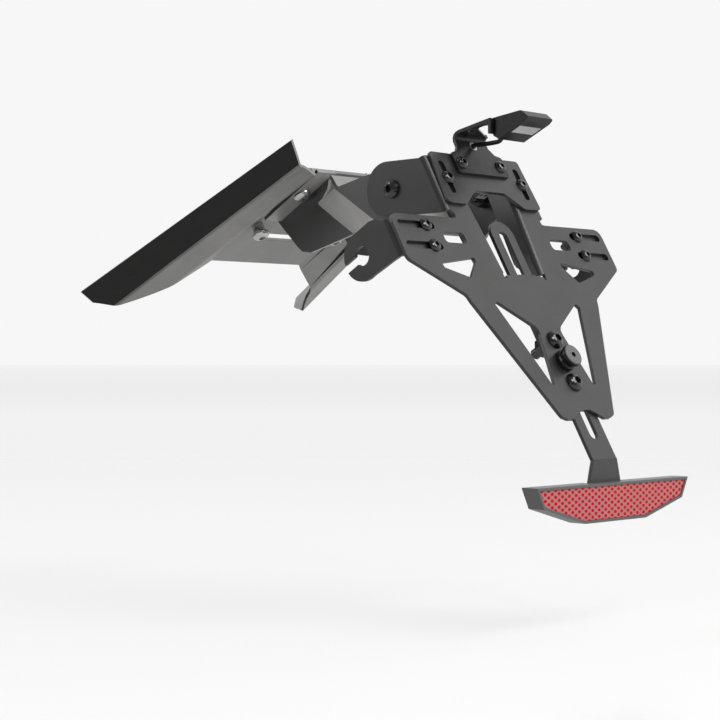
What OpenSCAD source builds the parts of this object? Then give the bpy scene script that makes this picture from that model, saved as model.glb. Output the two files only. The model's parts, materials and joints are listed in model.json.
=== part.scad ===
// Tail tidy: a folded tray under the tail, a forked arm and a tilting plate
// carrier with indicator brackets, a plate lamp, a bumper and a rear reflector.
// Origin: middle of the tray web's top face, where it meets the tail.
// +X is the right side, +Y points forward along the bike, +Z is up.

/* [Sheet] */
// thickness of every folded sheet
sheet = 2; // [1.5:0.5:3]
// outer radius of the tight folds
fold_r = 3; // [2.5:0.5:5]

/* [Tray] */
// rise of the tray towards the rear, degrees
tray_rise = 29; // [20:1:38]
// half the width of the flat web
web_half = 36.5; // [34:0.5:42]
// front edge of the web, forward of the origin
web_front = 62; // [50:1:70]
// rear edge of the web, behind the origin
web_rear = 38; // [34:1:42]
// half the width of the front rim at its top
rim_front_half = 91.5; // [80:0.5:110]
// half the width of the rear rim at its top
rim_rear_half = 62.3; // [52:0.5:70]

/* [Tail bolts] */
// from the web's side edge in to the bolts' axes
bolt_inset = 5.5; // [5.5:0.5:8]
// forward bolt row, forward of the origin
bolt_fwd = 21; // [18:0.5:24]
// rear bolt row, behind the origin
bolt_aft = 21; // [18:0.5:24]
// shank diameter of the M6 bolts
m6_d = 6; // [5:0.5:8]
// free length of the tail bolts above the web
stud_free = 12; // [8:1:20]

/* [Arm] */
// outer half width across the fork
fork_half = 39; // [36:0.5:44]
// from the tail bolts' axes in to the front panels' outer faces
panel_inset = 6.5; // [6:0.5:9]

/* [Pivot] */
// pivot axis behind the origin
pivot_aft = 105.1; // [100:0.5:110]
// pivot axis above the origin
pivot_up = 0.8; // [-5:0.1:5]

/* [Number plate carrier] */
// lean of the carrier from upright, degrees
plate_lean = 30; // [15:1:45]
// half the width across the ears
ear_half = 88; // [80:0.5:95]
// depth of the carrier below the pivot reference
plate_drop = 118; // [112:1:125]
// shank diameter of the M4 screws
m4_d = 4; // [3.5:0.1:4.2]
// width of the M4 slots
slot_w = 4.4; // [4.2:0.1:5]

/* [Indicator brackets] */
// bore for an M10 indicator stem
stem_d = 10.2; // [8:0.1:12]

/* [Reflector] */
// half the length of the reflector
reflector_half = 64.3; // [55:0.5:70]
// height of the reflector
reflector_h = 19.8; // [16:0.1:24]
// depth of the reflector housing
reflector_deep = 7; // [6:0.5:9]

/* [Bumper] */
// diameter of the rubber bumper
bumper_d = 12.5; // [10:0.5:16]
// how far the bumper stands off the carrier
bumper_h = 7.5; // [5:0.5:10]

/* [Lamp] */
// half the length of the lamp
lamp_half = 10.5; // [9:0.5:14]
// diameter of the lamp lead
lead_d = 2.6; // [2:0.1:4]

/* [Hidden] */
$fn = 48;
eps = 0.01;
bolt_half_x = web_half - bolt_inset;
panel_half = bolt_half_x - panel_inset;
channel_half = fork_half - 21;
m6_hole = m6_d + 0.4;
m4_hole = m4_d + 0.4;
thread_gap = 0.1;
inner_r = fold_r - sheet;
pivot_play = 0.05;
col_half = fork_half + sheet + pivot_play - fold_r;
cheek_out = fork_half + sheet + pivot_play;
pivot_local_y = 41.73;
pivot_local_z = -27.87;

// Frames of reference
module tray_axes() rotate([-tray_rise, 0, 0]) children();

module pivot_axes() translate([0, -pivot_aft, pivot_up]) children();

// plate_axes: x across, y up the carrier, z out of its rear face
module plate_axes()
  pivot_axes()
  rotate([90 - plate_lean, 0, 0])
  translate([0, -pivot_local_y, -pivot_local_z])
  children();

// side_x: draws a Y,Z outline and gives it a thickness along X from x0
module side_x(x0, thick) translate([x0, 0, 0]) rotate([90, 0, 90]) linear_extrude(thick) children();

module both_sides() {
  children();
  mirror([1, 0, 0]) children();
}

// Shared shapes
module slot2d(len, w) {
  square([len - w, w], center = true);
  translate([(len - w) / 2, 0]) circle(d = w);
  translate([-(len - w) / 2, 0]) circle(d = w);
}

module rounded2d(w, h, r) {
  square([w - 2 * r, h], center = true);
  square([w, h - 2 * r], center = true);
  for (i = [-1, 1]) for (j = [-1, 1]) translate([i * (w / 2 - r), j * (h / 2 - r)]) circle(r);
}

// button-head screw: head above z = 0, shank below
module button_head(head_d, head_h, key) difference() {
  rotate_extrude() polygon([[0, 0], [head_d * 0.5, 0], [head_d * 0.5, head_h * 0.14], [head_d * 0.475, head_h * 0.42],
    [head_d * 0.41, head_h * 0.7], [head_d * 0.32, head_h * 0.9], [head_d * 0.24, head_h], [0, head_h]]);
  translate([0, 0, head_h * 0.4]) cylinder(h = head_h, d = key / cos(30), $fn = 6);
}

module button_screw(d, head_d, head_h, len, key) {
  button_head(head_d, head_h, key);
  translate([0, 0, 0.6 - len]) cylinder(h = len - 0.6 + eps, d = d);
  translate([0, 0, -len]) cylinder(h = 0.6 + eps, d1 = d - 1, d2 = d);
}

// flanged nut: flange on z = 0, hexagon above
module flange_nut(d, flats, flange_d, h) {
  difference() {
    union() {
      cylinder(h = h * 0.22, d = flange_d);
      cylinder(h = h, d = flats / cos(30), $fn = 6);
    }
    translate([0, 0, -1]) cylinder(h = h + 2, d = d + 2 * thread_gap);
  }
}

module ring(outer, inner, h) difference() {
  cylinder(h = h, d = outer);
  translate([0, 0, -1]) cylinder(h = h + 2, d = inner);
}

// quarter fold: sheet face at z = 0 for x < 0, outer face at x = fold_r below
module fold_ring(len) rotate([-90, 0, 0]) intersection() {
  translate([0, fold_r, 0]) ring(2 * fold_r, 2 * inner_r, len);
  cube([fold_r, fold_r, len]);
}

// round cord swept along a path that nowhere runs along X
cord_sides = 12;
function path_dir(p, i) = let (k = len(p) - 1, d = p[min(i + 1, k)] - p[max(i - 1, 0)]) d / norm(d);
function cord_ring(p, i, r) = let (t = path_dir(p, i))
  let (u = [1, 0, 0] - t[0] * t, n = u / norm(u), m = cross(t, n))
  [for (a = [0 : cord_sides - 1]) p[i] + r * (cos(a * 360 / cord_sides) * n + sin(a * 360 / cord_sides) * m)];

module cord(p, d) {
  n = len(p);
  points = [for (i = [0 : n - 1]) each cord_ring(p, i, d / 2)];
  skin = [for (i = [0 : n - 2]) for (j = [0 : cord_sides - 1]) let (a = i * cord_sides, k = (j + 1) % cord_sides)
    [a + j, a + k, a + k + cord_sides, a + j + cord_sides]];
  polyhedron(points, concat(skin, [[for (j = [cord_sides - 1 : -1 : 0]) j]], [[for (j = [0 : cord_sides - 1]) (n - 1) * cord_sides + j]]));
}

// Tray: outline points as [x, y, z] in tray axes, from the rim in to the web
rim_up = 10;
lip_z = -7;
ridge_z = -10.5;
tray_front = [[rim_front_half, 123.5, rim_up], [85.44, 122.9, 2.2], [83.58, 119.6, -0.2], [79.3, 112.6, -5.86], [78.1, 110.8, -6.75],
  [76.8, 109.1, -7.24], [71, 101.4, -8.2], [64, 90.8, -9.4], [59.4, 82.4, -10.2], [57.1, 78.6, -10.1], [55, 76.4, -9.4],
  [web_half + 3.5, 65.2, -3.4], [web_half, web_front, -sheet]];
tray_rear = [[rim_rear_half, -55.5, 4.6], [59.18, -52.3, -0.72], [58.22, -51.3, -2.36], [55.7, -48.7, -6.66], [54.9, -48.4, -7.4],
  [53.7, -48.1, -7.85], [50, -47.4, -8.3], [46, -46.2, -9.4], [43, -45, -10.2], [41.4, -44.5, -10.2], [40.3, -44.4, -9.2],
  [web_half + 1.2, -42.6, -4.4], [web_half, -web_rear, -sheet]];

// unit normal of the strip a to b on the tray's upper side
function up_n(a, b) = let (d = b - a, l = norm([d[0], d[2]])) [d[2] / l, 0, -d[0] / l];
function mitre(m, n) = sheet * (m + n) / (1 + m * n);
function shell_up(p) = let (k = len(p) - 1) [for (i = [0 : k])
  i == 0 ? p[0] + sheet * up_n(p[0], p[1]) :
  i == k ? p[k] + [0, 0, sheet] :
  p[i] + mitre(up_n(p[i - 1], p[i]), up_n(p[i], p[i + 1]))];

module tray_side() {
  n = len(tray_front);
  points = concat(tray_front, shell_up(tray_front), tray_rear, shell_up(tray_rear));
  under = [for (i = [0 : n - 2]) each [[i, i + 1, i + 1 + 2 * n], [i, i + 1 + 2 * n, i + 2 * n]]];
  over = [for (i = [0 : n - 2]) each [[i + n, i + 1 + 3 * n, i + 1 + n], [i + n, i + 3 * n, i + 1 + 3 * n]]];
  fore = [for (i = [0 : n - 2]) each [[i, i + n, i + 1 + n], [i, i + 1 + n, i + 1]]];
  aft = [for (i = [0 : n - 2]) each [[i + 2 * n, i + 1 + 3 * n, i + 3 * n], [i + 2 * n, i + 1 + 2 * n, i + 1 + 3 * n]]];
  rim = [[0, 2 * n, 3 * n], [0, 3 * n, n]];
  seam = [[n - 1, 4 * n - 1, 3 * n - 1], [n - 1, 2 * n - 1, 4 * n - 1]];
  polyhedron(points, concat(under, over, fore, aft, rim, seam));
}

module tail_tray() color("#3a3937") tray_axes() {
  both_sides() tray_side();
  difference() {
    translate([0, 0, -sheet]) linear_extrude(sheet) difference() {
      translate([-web_half - eps, -web_rear]) square([2 * web_half + 2 * eps, web_rear + web_front]);
      translate([0, 32.5]) slot2d(44, 7);
    }
    for (x = [-bolt_half_x, bolt_half_x]) for (y = [-bolt_aft, bolt_fwd])
      translate([x, y, -sheet - 1]) cylinder(h = sheet + 2, d = m6_hole);
  }
}

// Arm outlines as [y, z] from the pivot
strip_low = [47.4, -21.7];
strip_top = [75.5, -2.9];

// slanting strip from the fork in to the panel: cross-section, then its side outline
strip_angle = 31.8;
strip_section = [[fork_half, -22.07], [panel_half, -42.8], [panel_half - 1.64, -41.65], [fork_half - 1.64, -20.92]];

module strip() intersection() {
  rotate([90 + strip_angle, 0, 0]) translate([0, 0, -68]) linear_extrude(66) polygon(strip_section);
  side_x(panel_half - 4.5, fork_half - panel_half + 7.5) polygon([[48, 3.8], [47, 5.6], [16.4, -13], [18, -14.8], strip_low, strip_top, [75, -1.6]]);
}

module arm_half() {
  // fork wall with the pivot bore
  difference() {
    side_x(fork_half - sheet, sheet) {
      circle(15);
      polygon([[2.4, 14.2], [17.6, 10], [24, 9], [48, 3.8], [18, -14.8], [1, -23.4], [-8.4, -11.4]]);
    }
    translate([fork_half - sheet - 1, 0, 0]) rotate([0, 90, 0]) cylinder(h = sheet + 2, d = m6_hole);
  }
  strip();
  // front panel
  side_x(panel_half - sheet, sheet)
    polygon([[74.9, -1.9], [46.9, -20.7], strip_low, [82.5, -30.6], [90, -29.6], [94.6, -26.2], [112.2, -9.8], [66.4, 15.6], [68.5, 6]]);
  // top flange under the tray
  pivot_foot() difference() {
    translate([panel_half - sheet, -44, lip_z]) cube([bolt_half_x + 6 - panel_half + sheet, 52, sheet]);
    translate([bolt_half_x, -bolt_aft, lip_z - 1]) cylinder(h = sheet + 2, d = m6_hole);
  }
}

// from pivot axes back to tray axes
module pivot_foot() translate([0, pivot_aft, -pivot_up]) tray_axes() children();

module arm() color("#62605f") pivot_axes() {
  both_sides() arm_half();
  side_x(1 - fork_half, 2 * fork_half - 2)
    polygon([[1, -23.2], [18, -14.6], [47.8, 3.9], [53.1, 10.5], [51.4, 11.7], [46.8, 5.7], [17.1, -12.9], [0.1, -21.5]]);
}

// Tail bolts, heads down: a reduced neck through the web, full diameter above it
neck_top = 1;
neck_d = m6_d - 0.8;

module tail_bolt_row(y, seat) for (x = [-bolt_half_x, bolt_half_x]) translate([x, y, 0]) {
  translate([0, 0, seat]) rotate([180, 0, 0]) button_head(10.5, 3.3, 4);
  translate([0, 0, seat - eps]) cylinder(h = neck_top - seat + 2 * eps, d = neck_d);
  translate([0, 0, neck_top]) cylinder(h = stud_free - 0.6 - neck_top, d = m6_d);
  translate([0, 0, stud_free - 0.6]) cylinder(h = 0.6, d1 = m6_d, d2 = m6_d - 1);
}

sleeve_h = 6;
spacer_h = 3;

module tail_bolts_front() color("#c9c8c4") tray_axes() tail_bolt_row(bolt_fwd, -sheet - sleeve_h);

module tail_bolts_rear() color("#c9c8c4") tray_axes() tail_bolt_row(-bolt_aft, lip_z);

module tail_sleeves_front() color("#c9c8c4") tray_axes()
  for (x = [-bolt_half_x, bolt_half_x]) translate([x, bolt_fwd, -sheet - sleeve_h]) ring(7.4, m6_hole, sleeve_h);

module tail_spacers_rear() color("#2b2a29") tray_axes()
  for (x = [-bolt_half_x, bolt_half_x]) translate([x, -bolt_aft, -sheet - spacer_h]) ring(10.8, m6_hole, spacer_h);

// Pivot hardware, drawn for the right side with the head outside
washer_h = 1.6;

module pivot_bolts() color("#1f1f20") pivot_axes() both_sides()
  translate([cheek_out, 0, 0]) rotate([0, 90, 0]) button_screw(m6_d, 10.5, 3.3, 16, 4);

module pivot_washers() color("#262627") pivot_axes() both_sides()
  translate([fork_half - sheet - washer_h, 0, 0]) rotate([0, 90, 0]) ring(12, m6_hole, washer_h);

module pivot_nuts() color("#262627") pivot_axes() both_sides()
  translate([fork_half - sheet - washer_h, 0, 0]) rotate([0, -90, 0]) flange_nut(m6_d, 10, 11.5, 6);

// Main plate outline, right half, y up the carrier
plate_pts = [[0, -112.9], [3, -112.8], [7.5, -115], [13, -plate_drop], [18, -117.9], [21.5, -116.5], [22.5, -115.3],
  [53.4, -47.6], [54.4, -44.3], [55.6, -43], [ear_half - 1.4, -23.7], [ear_half - 0.3, -22.3], [ear_half, -20.5],
  [ear_half, -0.6], [ear_half - 0.5, 1.9], [ear_half - 1.9, 3.7], [ear_half - 4.1, 4.7], [ear_half - 6.4, 4.8],
  [col_half + 0.65, 4.7], [col_half - 1.85, 5.1], [col_half - 2.25, 7.7], [col_half, 10.05],
  [col_half, 45.2], [channel_half + 6.9, 45.2], [channel_half + 5.74, 33], [channel_half, -28.3], [channel_half - 0.4, -32],
  [channel_half - 2, -32], [channel_half - 2.6, -30.4], [8, -29.6], [0, -29.4]];
window_b = [[36, -20.7], [37, -20.3], [62.7, -24.3], [63.5, -25.2], [62.8, -27.5], [46.2, -32.8], [45, -32.4], [36.3, -23]];
window_c = [[34, -47.5], [35.6, -49.2], [18.5, -97.1], [17.2, -97.8], [16, -97], [9.3, -66.3], [9.4, -64.2],
  [10.9, -61.9], [32.5, -47.5]];
flange_lean = 5.35;
arm_bolt_ys = [-70.5, -96.5];
bumper_y = -83.5;
ear_slot_ys = [-1.4, -14.2];
ear_slot_x = ear_half - 17.25;
ear_slot_len = 27.5;
ear_screw_x = ear_half - 24.5;
cross_x = fork_half - 8;
cross_screw_y = 30;

module main_plate_flat() difference() {
  polygon(plate_pts);
  translate([44.4, -8.1]) rounded2d(16.8, 6.8, 2.5);
  polygon(window_b);
  polygon(window_c);
  for (y = ear_slot_ys) translate([ear_slot_x, y]) slot2d(ear_slot_len, slot_w);
  translate([cross_x, cross_screw_y]) circle(d = m4_hole);
}

// stiffening flange along the opening, in its own axes
module opening_flange() translate([channel_half, -28.3, 0]) rotate([0, 0, -flange_lean]) {
  mirror([1, 0, 0]) fold_ring(61.5);
  side_x(-fold_r, sheet) polygon([[0, -fold_r], [61.5, -fold_r], [61.5, -15], [15.5, -15], [12.5, -14], [0, -5]]);
}

// pivot cheek: a strap with a round end, cut off at the fold
cheek_rake = 60;

module cheek() {
  translate([col_half, 10.05, 0]) fold_ring(35.15);
  difference() {
    side_x(cheek_out - sheet, sheet) intersection() {
      translate([pivot_local_y, pivot_local_z]) rotate(-cheek_rake) {
        translate([4.6, 0.2]) circle(15.2);
        translate([-45, -15]) square([49.6, 30.4]);
      }
      translate([-60, -80 - fold_r]) square([160, 80]);
    }
    translate([cheek_out - sheet - 1, pivot_local_y, pivot_local_z]) rotate([0, 90, 0]) cylinder(h = sheet + 2, d = m6_hole);
  }
}

module main_plate() color("#5f5e5d") plate_axes() {
  both_sides() {
    cheek();
    opening_flange();
  }
  difference() {
    translate([0, 0, -sheet]) linear_extrude(sheet) both_sides() main_plate_flat();
    for (y = arm_bolt_ys) translate([0, y, -sheet - 1]) cylinder(h = sheet + 2, d = m6_hole);
    translate([0, bumper_y, -sheet - 1]) cylinder(h = sheet + 2, d = m4_hole);
  }
}

module m4_screw(len) button_screw(m4_d, 7.6, 2.2, len, 2.5);

module m4_nut() flange_nut(m4_d, 7, 7.6, 4.6);

module cross_screws() color("#1f1f20") plate_axes()
  for (x = [-cross_x, cross_x]) translate([x, cross_screw_y, sheet]) m4_screw(12);

module cross_nuts() color("#262627") plate_axes()
  for (x = [-cross_x, cross_x]) translate([x, cross_screw_y, -sheet]) rotate([180, 0, 0]) m4_nut();

module arm_screws() color("#1f1f20") plate_axes()
  for (y = arm_bolt_ys) translate([0, y, 0]) button_screw(m6_d, 10.5, 3.3, 16, 4);

module arm_nuts() color("#262627") plate_axes()
  for (y = arm_bolt_ys) translate([0, y, -2 * sheet]) rotate([180, 0, 0]) flange_nut(m6_d, 10, 14, 6);

module bumper() color("#4a4a49") plate_axes() translate([0, bumper_y, 0]) difference() {
  rotate_extrude() polygon([[0, 0], [bumper_d / 2 - 0.3, 0], [bumper_d / 2, 0.3], [bumper_d / 2, 2.4], [bumper_d / 2 - 0.8, 3],
    [bumper_d / 2 - 0.8, 4.8], [bumper_d / 2, 5.4], [bumper_d / 2, bumper_h - 0.8], [bumper_d / 2 - 0.3, bumper_h - 0.25],
    [bumper_d / 2 - 0.8, bumper_h], [0, bumper_h]]);
  translate([0, 0, -1]) cylinder(h = 6.1, d = m4_d + 2 * thread_gap);
  translate([0, 0, bumper_h - 1.8]) cylinder(h = 4, d = 3.2, $fn = 6);
}

bumper_washer_h = 1;

module bumper_screw() color("#1f1f20") plate_axes()
  translate([0, bumper_y, -2 * sheet - bumper_washer_h]) rotate([180, 0, 0]) m4_screw(10);

module bumper_washer() color("#2a2a2a") plate_axes()
  translate([0, bumper_y, -2 * sheet - bumper_washer_h]) ring(10, m4_hole, bumper_washer_h);

// Cross plate over the column
light_x = channel_half - 2;
light_y = 39.5;

module cross_plate() color("#5b5a59") plate_axes() linear_extrude(sheet) both_sides() difference() {
  polygon([[0, 46.5], [fork_half - 4, 46.7], [fork_half - 2.6, 46.3], [fork_half - 2, 45], [fork_half - 0.3, 16],
    [fork_half - 0.8, 14.4], [fork_half - 3, 13.5], [fork_half - 14, 13.4], [fork_half - 15.4, 14],
    [13, 22.4], [11.4, 23], [0, 23]]);
  translate([cross_x, 30.5]) rotate(90) slot2d(21, slot_w);
  translate([light_x, light_y]) circle(d = m4_hole);
}

// Light bracket: base on the cross plate, upright and a rearward arm
module light_base() polygon([[0, 33], [19.6, 33], [20.6, 33.4], [21, 34.4], [21, 45.4], [20.2, 46.4], [16, 47.5],
  [12.9, 51.6], [12.6, 56], [0, 56]]);

// arm seen from the side in plate axes: upright face z = 2 to 4
light_side = [[50, sheet], [55, sheet], [57.2, 2.7], [58.6, 4.2], [59, 6.2], [58.7, 8.6], [51.7, 29.2], [51.2, 30.6],
  [50.6, 30.95], [43.5, 26.87], [44.5, 25.13], [49.4, 27.95], [50, 27.4], [56.8, 8], [57, 6.4], [56.6, 5], [55.4, 4.1],
  [54.8, 2 * sheet], [50, 2 * sheet]];
// notch in the arm as [x, z], open to the right so that the lead passes clear
arm_window = [[-8.2, 18.4], [-6.8, 16.6], [10.6, 7.4], [14, 7.2], [14, 24.4], [-7.4, 24.4], [-9, 22.8], [-9.2, 19.8]];
tab_y = 47;
tab_z = 26.54;
tab_turn = -150.1;

module light_bracket() color("#5b5a59") plate_axes() difference() {
  union() {
    translate([0, 0, sheet]) linear_extrude(sheet) both_sides() light_base();
    side_x(-12.6, 25.2) polygon(light_side);
  }
  for (x = [-light_x, light_x]) translate([x, light_y, 0]) cylinder(h = 9, d = m4_hole);
  translate([-8.6, 40, 13]) rotate([-90, 0, 0]) cylinder(h = 30, d = 3.6);
  translate([0, 49, 0]) rotate([90, 0, 0]) mirror([0, 0, 1]) linear_extrude(20) polygon(arm_window);
  translate([0, eyelet_y, 0]) cylinder(h = 9, d = eyelet_d + 0.2);
  translate([0, tab_y, tab_z]) rotate([tab_turn, 0, 0]) cylinder(h = 12, d = m3_d + 0.4, center = true);
}

module light_screws() color("#1f1f20") plate_axes()
  for (x = [-light_x, light_x]) translate([x, light_y, 2 * sheet]) m4_screw(9);

module light_nuts() color("#262627") plate_axes()
  for (x = [-light_x, light_x]) translate([x, light_y, -2.4]) ring(6.4, m4_d + 2 * thread_gap, 2.4);

eyelet_d = 5;
eyelet_y = 51.9;

module upright_eyelet() color("#b9b8b5") plate_axes() translate([0, eyelet_y, 0]) difference() {
  union() {
    translate([0, 0, sheet]) cylinder(h = sheet, d = eyelet_d);
    translate([0, 0, 2 * sheet]) cylinder(h = 0.5, d = 5.6);
  }
  cylinder(h = 9, d = 3.4);
}

// Lamp outline in plate axes as seen from the side
m3_d = 3;
lamp_side = [[50.95, 31.15], [43.5, 48.6], [42.6, 49.4], [37.9, 51.3], [37.2, 50.9], [36.6, 48.2], [38.5, 28.7], [42.5, 26.3]];
pocket_side = [[35, 43.6], [35, 36.4], [39.75, 36.4], [39.75, 32.2], [42.97, 32.2], [41.4, 46.2], [39.75, 46.2], [39.75, 43.6]];
lens_side = [[37.12, 43.5], [37.8, 36.5], [39.7, 36.5], [39.1, 43.5]];
board_side = [[41.9, 32.35], [42.85, 32.4], [41.38, 45.75], [40.4, 45.65]];
led_side = [[41.6, 36.5], [41.1, 41], [40.3, 40.9], [40.8, 36.4]];
lead_mouth = [-6, 40.5, 27.5];

module lamp_housing() color("#4b4a4b") plate_axes() difference() {
  side_x(-lamp_half, 2 * lamp_half) polygon(lamp_side);
  side_x(-lamp_half + 1.6, 2 * lamp_half - 3.2) polygon(pocket_side);
  translate([0, tab_y, tab_z]) rotate([tab_turn, 0, 0]) translate([0, 0, -6.4]) cylinder(h = 8, d = m3_d + 2 * thread_gap);
  translate(lead_mouth) rotate([-31, 0, 0]) translate([0, 0, -1]) cylinder(h = 3.6, d = lead_d + 0.3);
}

module lamp_board() color("#d9d8c8") plate_axes() {
  side_x(-lamp_half + 1.8, 2 * lamp_half - 3.6) polygon(board_side);
  for (x = [-5, 0, 5]) side_x(x - 1.5, 3) polygon(led_side);
}

module lamp_lens() color("#d9d9d6") plate_axes() side_x(-lamp_half + 1.65, 2 * lamp_half - 3.3) polygon(lens_side);

module lamp_screw() color("#1f1f20") plate_axes() translate([0, tab_y, tab_z]) rotate([tab_turn, 0, 0])
  button_screw(m3_d, 5.4, 1.65, 6, 2);

// lead: from the lamp's lower corner straight to the eyelet, through it and down to the plug
lead_path = [[-6, 41.5, 29.2], [-6, 40.2, 26.9], [-5.9, 40.1, 25.4], [-5.5, 40.7, 23.8], [-3.6, 44.4, 17.4], [-1.7, 48.1, 11.4],
  [-0.7, 50.2, 8.2], [-0.2, 51.4, 6.2], [0, 51.9, 4.6], [0, 51.9, 2.6], [0, 51.9, 0.8], [0, 51.5, -0.8], [0, 50.5, -2.1],
  [0, 49, -2.8], [0, 47.2, -3], [0, 43, -3], [0, 37, -3]];

module lamp_lead() color("#171717") plate_axes() cord(lead_path, lead_d);

module lamp_plug() color("#1d1d1d") plate_axes() difference() {
  union() {
    translate([-4, 24, -6]) cube([8, 16, 6]);
    translate([-1.2, 26, -7]) cube([2.4, 9, 2]);
  }
  translate([0, 41, -3]) rotate([90, 0, 0]) cylinder(h = 5, d = lead_d + 0.2);
  for (x = [-1.9, 1.9]) translate([x, 29, -3]) rotate([90, 0, 0]) cylinder(h = 7, d = 2);
}

// Indicator brackets: plate behind the ear, folded forward beyond its end
hook_x = ear_half + 1;

module ear_bracket_right_shape() {
  difference() {
    translate([0, 0, -2 * sheet]) linear_extrude(sheet) polygon([[hook_x - 35, 2.6], [hook_x - fold_r, 2.6],
      [hook_x - fold_r, -19.4], [hook_x - 31, -19.4], [hook_x - 35, -16]]);
    for (y = ear_slot_ys) translate([ear_screw_x, y, -9]) cylinder(h = 9, d = m4_hole);
  }
  translate([hook_x - fold_r, -19.4, -sheet]) fold_ring(22);
  side_x(hook_x - sheet, sheet) difference() {
    union() {
      polygon([[2.6, -sheet - fold_r], [6.5, -9], [8, -14], [8, -26.8], [-18, -26.8], [-19, -9], [-19.4, -sheet - fold_r]]);
      translate([-5, -26.8]) circle(13.2);
    }
    translate([-5, -26.8]) circle(d = stem_d);
    translate([-7.4, -48]) square([4.8, 21]);
  }
}

module ear_screw_pair() for (y = ear_slot_ys) translate([ear_screw_x, y, 0]) m4_screw(12);

module ear_nut_pair() for (y = ear_slot_ys) translate([ear_screw_x, y, -2 * sheet]) rotate([180, 0, 0]) m4_nut();

module ear_bracket_right() color("#4a4948") plate_axes() ear_bracket_right_shape();

module ear_bracket_left() color("#4a4948") plate_axes() mirror([1, 0, 0]) ear_bracket_right_shape();

module ear_screws_right() color("#1f1f20") plate_axes() ear_screw_pair();

module ear_screws_left() color("#1f1f20") plate_axes() mirror([1, 0, 0]) ear_screw_pair();

module ear_nuts_right() color("#262627") plate_axes() ear_nut_pair();

module ear_nuts_left() color("#262627") plate_axes() mirror([1, 0, 0]) ear_nut_pair();

// Reflector arm: slotted strip behind the carrier, foot folded upright
bend_y = -141.4;
reflector_top = -11.25;

module foot_axes() translate([0, bend_y, -sheet]) rotate([plate_lean, 0, 0]) children();

module reflector_arm() color("#4a4948") plate_axes() {
  translate([0, 0, -2 * sheet]) linear_extrude(sheet) difference() {
    union() {
      polygon([[-9.3, -2.9], [-10, bend_y], [10, bend_y], [9.3, -2.9]]);
      translate([0, -2.9]) circle(9.3);
    }
    translate([0, -64.75]) rotate(90) slot2d(128.5, m6_hole);
  }
  foot_axes() difference() {
    translate([0, 0, -sheet]) linear_extrude(sheet) both_sides()
      polygon([[0, 0.6], [9.9, 0.6], [13, reflector_top], [13.4, -13], [13.4, -27], [12, -29], [0, -29]]);
    translate([0, -21, -9]) cylinder(h = 18, d = 5.4);
  }
}

function mirrored(p) = concat(p, [for (i = [len(p) - 1 : -1 : 0]) [-p[i][0], p[i][1]]]);

// reflector outline, drawn in by the given amounts
module reflector_2d(side, top, low) polygon(mirrored([[reflector_half - 1.65 * side, reflector_top - top],
  [reflector_half - 5.5 - 0.68 * side, reflector_top - 10.8 + 0.84 * side],
  [reflector_half - 38.5 - 0.13 * side, reflector_top - reflector_h + low]]));

reflector_back = 3;
reflector_rim = 1.4;

module reflector_housing() color("#4a4a4b") plate_axes() foot_axes() difference() {
  translate([0, 0, -reflector_back]) linear_extrude(reflector_back + reflector_deep) reflector_2d(0, 0, 0);
  translate([0, 0, -9]) linear_extrude(9) reflector_2d(1.6, 1.6, 1.6);
  translate([-15.5, -50, -9]) cube([31, 50, 9]);
  translate([0, 0, 3]) linear_extrude(reflector_deep) reflector_2d(reflector_rim, reflector_rim, reflector_rim);
  translate([0, -21, -1]) cylinder(h = 9, d = 5.2);
}

module reflector_lens() color("#a31236") plate_axes() foot_axes() difference() {
  translate([0, 0, 3]) linear_extrude(reflector_deep - 3.6)
    reflector_2d(reflector_rim + 0.1, reflector_rim + 0.1, reflector_rim + 0.1);
  translate([0, -21, 2]) cylinder(h = 3, d = 9.4);
}

module reflector_stud() color("#8d8c8a") plate_axes() foot_axes() translate([0, -21, 0]) {
  translate([0, 0, 3]) cylinder(h = 1.6, d = 9);
  translate([0, 0, -11]) cylinder(h = 14 + eps, d = 5);
}

module reflector_nut() color("#8d8c8a") plate_axes() foot_axes()
  translate([0, -21, -sheet]) rotate([180, 0, 0]) flange_nut(5, 8, 11, 5);

tail_tray();
arm();
tail_bolts_front();
tail_bolts_rear();
tail_sleeves_front();
tail_spacers_rear();
pivot_bolts();
pivot_washers();
pivot_nuts();
main_plate();
cross_screws();
cross_nuts();
arm_screws();
arm_nuts();
bumper();
bumper_screw();
bumper_washer();
cross_plate();
light_bracket();
light_screws();
light_nuts();
lamp_housing();
lamp_board();
lamp_lens();
lamp_screw();
upright_eyelet();
lamp_lead();
lamp_plug();
ear_bracket_left();
ear_screws_left();
ear_nuts_left();
ear_bracket_right();
ear_screws_right();
ear_nuts_right();
reflector_arm();
reflector_housing();
reflector_lens();
reflector_stud();
reflector_nut();
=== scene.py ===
"""Tail tidy: procedural finishes, the lamp's lead, stage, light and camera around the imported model."""
import json
import math

import bpy
from mathutils import Euler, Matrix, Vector


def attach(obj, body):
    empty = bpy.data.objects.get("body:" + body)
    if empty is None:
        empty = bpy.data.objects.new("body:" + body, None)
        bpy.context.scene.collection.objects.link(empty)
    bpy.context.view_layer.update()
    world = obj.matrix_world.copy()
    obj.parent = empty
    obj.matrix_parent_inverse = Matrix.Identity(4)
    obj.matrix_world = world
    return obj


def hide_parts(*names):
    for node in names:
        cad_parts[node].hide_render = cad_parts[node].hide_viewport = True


MM = 0.001
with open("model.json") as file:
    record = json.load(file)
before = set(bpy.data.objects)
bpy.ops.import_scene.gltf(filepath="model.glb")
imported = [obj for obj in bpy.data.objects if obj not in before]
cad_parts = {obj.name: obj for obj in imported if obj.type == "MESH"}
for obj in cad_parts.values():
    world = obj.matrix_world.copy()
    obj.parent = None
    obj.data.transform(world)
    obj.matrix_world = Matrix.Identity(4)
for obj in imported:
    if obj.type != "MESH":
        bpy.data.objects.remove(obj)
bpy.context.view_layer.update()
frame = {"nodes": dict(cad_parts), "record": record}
nodes = frame["nodes"]

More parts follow.
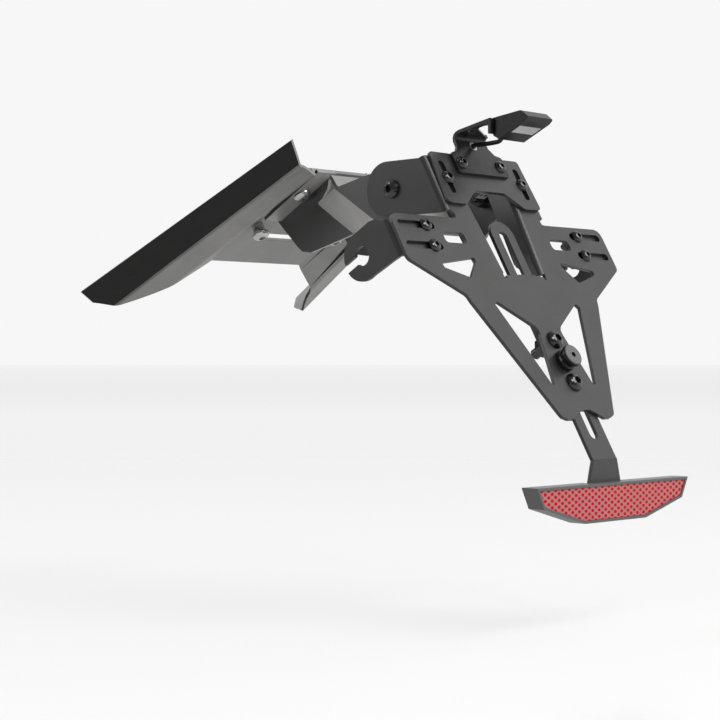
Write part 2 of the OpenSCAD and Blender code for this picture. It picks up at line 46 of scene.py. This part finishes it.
# Camera: level, looking along +X +Y at the photograph's angle
CAMERA_AT = (-730.2 * MM, -769.2 * MM, -93.0 * MM)
CAMERA_HEADING = -45
LENS = 87.25
SENSOR = 36.0
CLIP_END = 50

# Floor: lower than the reflector at the end of its travel
FLOOR_Z = -232.0 * MM
FLOOR_HALF = 40.0
FLOOR_COLOUR = 0.76
FLOOR_LIFT = 0.335
FLOOR_ROUGHNESS = 0.13
FLOOR_IOR = 1.3

# Surround: strength as seen, strength as light, and its dimmer side
WORLD_SHOWN = 0.93
WORLD_LIGHT = 1.0
BRIGHT_SIDE = (0.8, 0.3, -0.5)
SIDE_FROM, SIDE_TO = -0.6, 0.45
SIDE_DIM = 0.25

# Name, place, aim, size and power of each lamp
LAMPS = (
    ("key", (0.5, -1.3, 1.1), (0, -0.1, -0.05), (1.0, 1.0), 13),
    ("spark", (-0.35, -1.0, 0.75), (0, -0.12, 0), (0.16, 0.5), 1.6),
    ("rim", (-0.9, 0.9, 0.8), (0, -0.05, 0), (0.5, 1.2), 4),
)

# Grain of the finishes: noise scales, bump heights and rounded edges, in metres
FINE, CLOUDS = 2600, 45
COAT_BUMP, COAT_EDGE = 0.00003, 0.00035
MOULD_BUMP, MOULD_EDGE = 0.00003, 0.00025
METAL_BUMP, METAL_EDGE = 0.00002, 0.0002
OXIDE_BUMP, OXIDE_EDGE = 0.00002, 0.00012
BEVEL_SAMPLES = 4

WARM = (1.0, 0.985, 0.97)
NEUTRAL = (1, 1, 1)
FACE_OF_BUMPER = (0.0, -0.866, 0.5)

# Prism lattice of the reflector: pitch along X and between rows, then the dots' shape
DOT_PITCH = 5.45 * MM
ROW_PITCH = 1.67 * MM
DOT_WIDTH = 0.72
DOT_INNER, DOT_OUTER = 0.48, 0.62
PRISM_BUMP = 0.0002

FLUTE_PITCH = 1.2 * MM
FLUTE_BUMP = 0.00006


def make_camera():
    data = bpy.data.cameras.new("camera")
    data.lens = LENS
    data.sensor_width = SENSOR
    data.clip_end = CLIP_END
    camera = bpy.data.objects.new("camera", data)
    bpy.context.scene.collection.objects.link(camera)
    camera.location = CAMERA_AT
    camera.rotation_euler = (math.radians(90), 0, math.radians(CAMERA_HEADING))
    bpy.context.scene.camera = camera


make_camera()
bpy.context.scene.view_settings.view_transform = "Standard"


class Nodes:
    """Short helper for building a node tree."""

    def __init__(self, tree):
        self.tree = tree

    def node(self, kind, inputs=None, **settings):
        made = self.tree.nodes.new(kind)
        for key, value in settings.items():
            setattr(made, key, value)
        for key, value in (inputs or {}).items():
            self.put(made.inputs[key], value)
        return made

    def put(self, socket, value):
        if isinstance(value, bpy.types.NodeSocket):
            self.tree.links.new(value, socket)
        else:
            socket.default_value = value

    def ramp(self, factor, low, high, dark, light, **settings):
        made = self.node(
            "ShaderNodeMapRange",
            {"Value": factor, "From Min": low, "From Max": high, "To Min": dark, "To Max": light},
            **settings)
        return made.outputs["Result"]

    def math(self, kind, a, b=0.0):
        made = self.node("ShaderNodeMath", {0: a, 1: b}, operation=kind)
        return made.outputs[0]

    def dot(self, a, b):
        made = self.node("ShaderNodeVectorMath", {0: a, 1: b}, operation="DOT_PRODUCT")
        return made.outputs["Value"]


class Finish(Nodes):
    """A procedural material on the object's own coordinates."""

    def __init__(self, name):
        self.material = bpy.data.materials.new(name)
        self.material.use_nodes = True
        super().__init__(self.material.node_tree)
        self.shader = self.tree.nodes["Principled BSDF"]
        self.output = self.tree.nodes["Material Output"]

    def set(self, **values):
        for name, value in values.items():
            self.put(self.shader.inputs[name.replace("_", " ")], value)

    def coords(self, scale=(1, 1, 1)):
        where = self.node("ShaderNodeTexCoord").outputs["Object"]
        return self.node("ShaderNodeMapping", {"Vector": where, "Scale": scale}).outputs["Vector"]

    def spot(self):
        return self.node("ShaderNodeSeparateXYZ", {"Vector": self.coords()}).outputs

    def facing(self):
        return self.node("ShaderNodeTexCoord").outputs["Normal"]

    def facing_xyz(self):
        return self.node("ShaderNodeSeparateXYZ", {"Vector": self.facing()}).outputs

    def noise(self, scale, detail=4.0, rough=0.5, vector=None):
        made = self.node("ShaderNodeTexNoise", {
            "Scale": scale, "Detail": detail, "Roughness": rough,
            "Vector": vector or self.coords()})
        return made.outputs["Fac"]

    def clouds(self):
        return self.ramp(self.noise(CLOUDS, 3.0), 0.35, 0.65, 0, 1)

    def blend(self, factor, a, b):
        made = self.node("ShaderNodeMix", {0: factor, 6: a, 7: b}, data_type="RGBA")
        return made.outputs[2]

    def uneven(self, factor, low, high):
        """Value that wanders between low and high with a noise."""
        return self.ramp(factor, 0.3, 0.7, low, high)

    def bump(self, height, distance, strength=1.0, edge=0.0):
        made = self.node("ShaderNodeBump", {
            "Height": height, "Distance": distance, "Strength": strength})
        if edge:
            rounded = self.node("ShaderNodeBevel", {"Radius": edge}, samples=BEVEL_SAMPLES)
            self.put(made.inputs["Normal"], rounded.outputs["Normal"])
        self.put(self.shader.inputs["Normal"], made.outputs["Normal"])


def grey(value, tint=NEUTRAL):
    return (value * tint[0], value * tint[1], value * tint[2], 1)


def powder_coat(name, dark, light, roughness, ior):
    g = Finish(name)
    fine = g.noise(FINE, 2.0, 0.6)
    g.set(Base_Color=g.blend(g.clouds(), grey(dark, WARM), grey(light, WARM)),
          Roughness=g.uneven(fine, roughness - 0.05, roughness + 0.06),
          IOR=ior)
    g.bump(fine, COAT_BUMP, 1.0, COAT_EDGE)
    return g.material


def tray_coat_painted_light(name):
    """Satin coat with painted light and shade: darker and duller on the outer faces of the two sloping
    flanges as painted shade, painted light grey on the other faces as painted sheen.
    """
    g = Finish(name)
    fine = g.noise(FINE, 2.0, 0.6)
    normal = g.facing_xyz()
    sideways = g.ramp(g.math("ABSOLUTE", normal["X"]), 0.62, 0.76, 0.0, 1.0)
    downward = g.ramp(normal["Z"], -0.12, -0.02, 1.0, 0.0)
    painted_shade_outer = g.math("MULTIPLY", sideways, downward)
    # Painted sheen: the black coat is drawn light grey on every face except the outer flange faces,
    # which get painted shade, near black.
    painted_sheen = g.blend(g.clouds(), grey(0.25, WARM), grey(0.30, WARM))
    rough = g.ramp(painted_shade_outer, 0.0, 1.0, 0.34, 0.6)
    g.set(Base_Color=g.blend(painted_shade_outer, painted_sheen, grey(0.034, WARM)),
          Roughness=g.math("ADD", rough, g.uneven(fine, -0.04, 0.05)),
          Specular_IOR_Level=g.ramp(painted_shade_outer, 0.0, 1.0, 1.0, 0.12))
    g.bump(fine, COAT_BUMP, 1.0, COAT_EDGE)
    return g.material


def arm_coat_painted_light(name):
    """Satin coat with painted light and shade: near black on the flat side walls, painted light grey as
    painted sheen on the folded web and slanting strips.
    """
    g = Finish(name)
    fine = g.noise(FINE, 2.0, 0.6)
    painted_shade_walls = g.ramp(g.math("ABSOLUTE", g.facing_xyz()["X"]), 0.88, 0.96, 0.0, 1.0)
    # Painted sheen: the web and slanting strips are drawn light grey; the flat side walls keep a near
    # black painted shade.
    painted_sheen = g.blend(g.clouds(), grey(0.32, WARM), grey(0.38, WARM))
    g.set(Base_Color=g.blend(painted_shade_walls, painted_sheen, grey(0.04, WARM)),
          Roughness=g.uneven(fine, 0.29, 0.4),
          IOR=1.9)
    g.bump(fine, COAT_BUMP, 1.0, COAT_EDGE)
    return g.material


def bumper_rubber_painted_light(name):
    """Glossy black moulded sides and a face painted grey as painted light, picked out by its direction.
    """
    g = Finish(name)
    spark = g.noise(1800, 2.0)
    face = g.ramp(g.dot(g.facing(), FACE_OF_BUMPER), 0.8, 0.95, 0.0, 1.0)
    # Painted light: the face toward FACE_OF_BUMPER is drawn grey, while the sides keep the black
    # rubber's colour.
    painted_light_face_colour = g.blend(spark, grey(0.15), grey(0.2))
    g.set(Base_Color=g.blend(face, grey(0.014), painted_light_face_colour),
          Roughness=g.ramp(face, 0.0, 1.0, 0.28, 0.55))
    g.bump(spark, MOULD_BUMP, 0.8, MOULD_EDGE)
    return g.material


def brushed_metal(name, colour, roughness):
    g = Finish(name)
    streaks = g.noise(900, 3.0, 0.6, g.coords((1, 1, 6)))
    g.set(Base_Color=g.blend(streaks, grey(colour * 0.86), grey(colour)),
          Roughness=g.uneven(streaks, roughness - 0.06, roughness + 0.08),
          Metallic=1.0)
    g.bump(streaks, METAL_BUMP, 0.6, METAL_EDGE)
    return g.material


def oxide(name, colour, roughness):
    g = Finish(name)
    stain = g.noise(500, 3.0)
    g.set(Base_Color=g.blend(stain, grey(colour * 0.7), grey(colour * 1.3)),
          Roughness=g.uneven(stain, roughness - 0.04, roughness + 0.04),
          Specular_IOR_Level=1.0)
    g.bump(stain, OXIDE_BUMP, 0.5, OXIDE_EDGE)
    return g.material


def moulded(name, colour, roughness, grain, tint=NEUTRAL):
    g = Finish(name)
    spark = g.noise(grain, 2.0)
    g.set(Base_Color=g.blend(spark, grey(colour * 0.85, tint), grey(colour * 1.15, tint)),
          Roughness=g.uneven(spark, roughness - 0.05, roughness + 0.05))
    g.bump(spark, MOULD_BUMP, 0.8, MOULD_EDGE)
    return g.material


def prism_red(name):
    """Rows of red dots, every other row shifted by half a pitch, on a paler ground."""
    g = Finish(name)
    spot = g.spot()
    row = g.math("DIVIDE", spot["Z"], ROW_PITCH)
    odd = g.math("FLOORED_MODULO", g.math("FLOOR", row), 2.0)
    shift = g.math("MULTIPLY", odd, 0.5)
    across = g.math("ADD", g.math("DIVIDE", spot["X"], DOT_PITCH), shift)
    from_middle = g.math("SUBTRACT", g.math("FRACT", across), 0.5)
    du = g.math("MULTIPLY", from_middle, DOT_WIDTH * DOT_PITCH / ROW_PITCH)
    dv = g.math("SUBTRACT", g.math("FRACT", row), 0.5)
    squares = g.math("ADD", g.math("MULTIPLY", du, du), g.math("MULTIPLY", dv, dv))
    inside = g.ramp(g.math("SQRT", squares), DOT_INNER, DOT_OUTER, 1.0, 0.0)
    red = g.blend(g.noise(220, 2.0), (0.50, 0.0, 0.022, 1), (0.62, 0.0, 0.034, 1))
    g.set(Base_Color=g.blend(inside, (0.62, 0.23, 0.21, 1), red),
          Roughness=0.3,
          Specular_IOR_Level=0.12)
    g.bump(inside, PRISM_BUMP, 0.5)
    return g.material


def frosted(name):
    """Pale lens with fine flutes across it."""
    g = Finish(name)
    turns = g.math("MULTIPLY", g.spot()["X"], 2 * math.pi / FLUTE_PITCH)
    g.set(Base_Color=g.blend(g.noise(300, 2.0), grey(0.66), grey(0.78)),
          Roughness=0.3,
          Coat_Weight=0.4)
    g.bump(g.math("SINE", turns), FLUTE_BUMP, 0.6)
    return g.material


lead_black = moulded("lead_jacket", 0.018, 0.38, 900)

FINISHES = {
    "black_coat": powder_coat("powder_coat", 0.028, 0.038, 0.32, 1.65),
    "stainless": brushed_metal("stainless", 0.72, 0.2),
    "zinc": brushed_metal("zinc", 0.55, 0.36),
    "black_steel": oxide("black_oxide", 0.010, 0.12),
    "red_lens": prism_red("prism_red"),
    "lamp_lens": frosted("frosted_lens"),
    "board": moulded("board_white", 0.7, 0.4, 800),
    "black_plastic": moulded("black_plastic", 0.13, 0.38, 2600, (1.0, 0.985, 1.0)),
    "lead_jacket": lead_black,
}

# Pieces whose look differs from the rest of their slot
OWN_FINISH = {
    "tail_tray": tray_coat_painted_light("powder_coat_tray_painted_light"),
    "arm": arm_coat_painted_light("powder_coat_arm_painted_light"),
    "light_bracket": powder_coat("powder_coat_deep", 0.014, 0.019, 0.3, 1.5),
    "lamp_housing": moulded("lamp_plastic", 0.004, 0.3, 2600),
    "bumper": bumper_rubber_painted_light("bumper_rubber_painted_light"),
}

for part in frame["record"]["subparts"]:
    mesh = nodes[part["node"]].data
    mesh.materials.clear()
    mesh.materials.append(OWN_FINISH.get(part["node"]) or FINISHES[part["material_slot"]])


# Lead: a smooth cord along the source's own route, given here in plate axes and millimetres
PIVOT = Vector((0, -105.1, 0.8))
PLATE_PIVOT = Vector((0, 41.73, -27.87))
PLATE_TURN = Euler((math.radians(60), 0, 0)).to_matrix()

LEAD_D = 2.6 * MM
LEAD_PATH = (
    (-6, 41.5, 29.2), (-6, 40.2, 26.9), (-5.9, 40.1, 25.4), (-5.5, 40.7, 23.8),
    (-3.6, 44.4, 17.4), (-1.7, 48.1, 11.4), (-0.7, 50.2, 8.2), (-0.2, 51.4, 6.2),
    (0, 51.9, 4.6), (0, 51.9, 2.6), (0, 51.9, 0.8), (0, 51.5, -0.8), (0, 50.5, -2.1),
    (0, 49, -2.8), (0, 47.2, -3), (0, 43, -3), (0, 37, -3),
)


def from_plate(x, y, z):
    return (PIVOT + PLATE_TURN @ (Vector((x, y, z)) - PLATE_PIVOT)) * MM


def lead():
    points = [from_plate(*p) for p in LEAD_PATH]
    curve = bpy.data.curves.new("lead", "CURVE")
    curve.dimensions = "3D"
    curve.bevel_depth = LEAD_D / 2
    curve.bevel_resolution = 6
    curve.use_fill_caps = True
    spline = curve.splines.new("POLY")
    spline.points.add(len(points) - 1)
    for knot, at in zip(spline.points, points):
        knot.co = (*at, 1)
    spline.use_smooth = True
    piece = bpy.data.objects.new("lead", curve)
    bpy.context.scene.collection.objects.link(piece)
    curve.materials.append(lead_black)
    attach(piece, "lamp_unit")
    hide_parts("lamp_lead")


lead()


def stage_floor():
    """Pale matt floor with a thin gloss; the lift is for the camera only and lights nothing."""
    mesh = bpy.data.meshes.new("floor")
    s = FLOOR_HALF
    corners = [(-s, -s, FLOOR_Z), (s, -s, FLOOR_Z), (s, s, FLOOR_Z), (-s, s, FLOOR_Z)]
    mesh.from_pydata(corners, [], [(0, 1, 2, 3)])
    floor = bpy.data.objects.new("floor", mesh)
    bpy.context.scene.collection.objects.link(floor)
    g = Finish("floor")
    matt = g.node("ShaderNodeBsdfDiffuse", {"Color": grey(FLOOR_COLOUR)})
    camera_ray = g.node("ShaderNodeLightPath").outputs["Is Camera Ray"]
    lift = g.node("ShaderNodeEmission",
                  {"Strength": g.math("MULTIPLY", camera_ray, FLOOR_LIFT)})
    both = g.node("ShaderNodeAddShader", {0: matt.outputs[0], 1: lift.outputs[0]})
    gloss = g.node("ShaderNodeBsdfGlossy", {"Roughness": FLOOR_ROUGHNESS, "Color": grey(1.0)})
    edge = g.node("ShaderNodeFresnel", {"IOR": FLOOR_IOR})
    mixed = g.node("ShaderNodeMixShader",
                   {0: edge.outputs[0], 1: both.outputs[0], 2: gloss.outputs[0]})
    g.put(g.output.inputs["Surface"], mixed.outputs[0])
    mesh.materials.append(g.material)


def surround():
    """Near-white as seen; as a light, dimmer away from the bright side."""
    world = bpy.data.worlds.new("surround")
    bpy.context.scene.world = world
    world.use_nodes = True
    g = Nodes(world.node_tree)
    path = g.node("ShaderNodeLightPath").outputs
    seen = g.math("MAXIMUM", path["Is Camera Ray"], path["Is Transmission Ray"])
    seen = g.math("MAXIMUM", seen, path["Is Glossy Ray"])
    level = g.ramp(seen, 0.0, 1.0, WORLD_LIGHT, WORLD_SHOWN)
    where = g.node("ShaderNodeTexCoord").outputs["Generated"]
    towards = g.dot(where, Vector(BRIGHT_SIDE).normalized())
    panel = g.ramp(towards, SIDE_FROM, SIDE_TO, SIDE_DIM, 1.0, interpolation_type="SMOOTHSTEP")
    even = g.node("ShaderNodeMix", {0: path["Is Camera Ray"], 2: panel, 3: 1.0}).outputs[0]
    background = g.tree.nodes["Background"]
    g.put(background.inputs["Color"], grey(1.0))
    g.put(background.inputs["Strength"], g.math("MULTIPLY", level, even))


def soft_light(name, at, aim, size, power):
    data = bpy.data.lights.new(name, "AREA")
    data.shape = "RECTANGLE"
    data.size, data.size_y = size
    data.energy = power
    lamp = bpy.data.objects.new(name, data)
    bpy.context.scene.collection.objects.link(lamp)
    lamp.location = at
    lamp.visible_camera = False
    lamp.rotation_euler = (Vector(aim) - Vector(at)).to_track_quat("-Z", "Y").to_euler()


stage_floor()
surround()
for lamp_row in LAMPS:
    soft_light(*lamp_row)

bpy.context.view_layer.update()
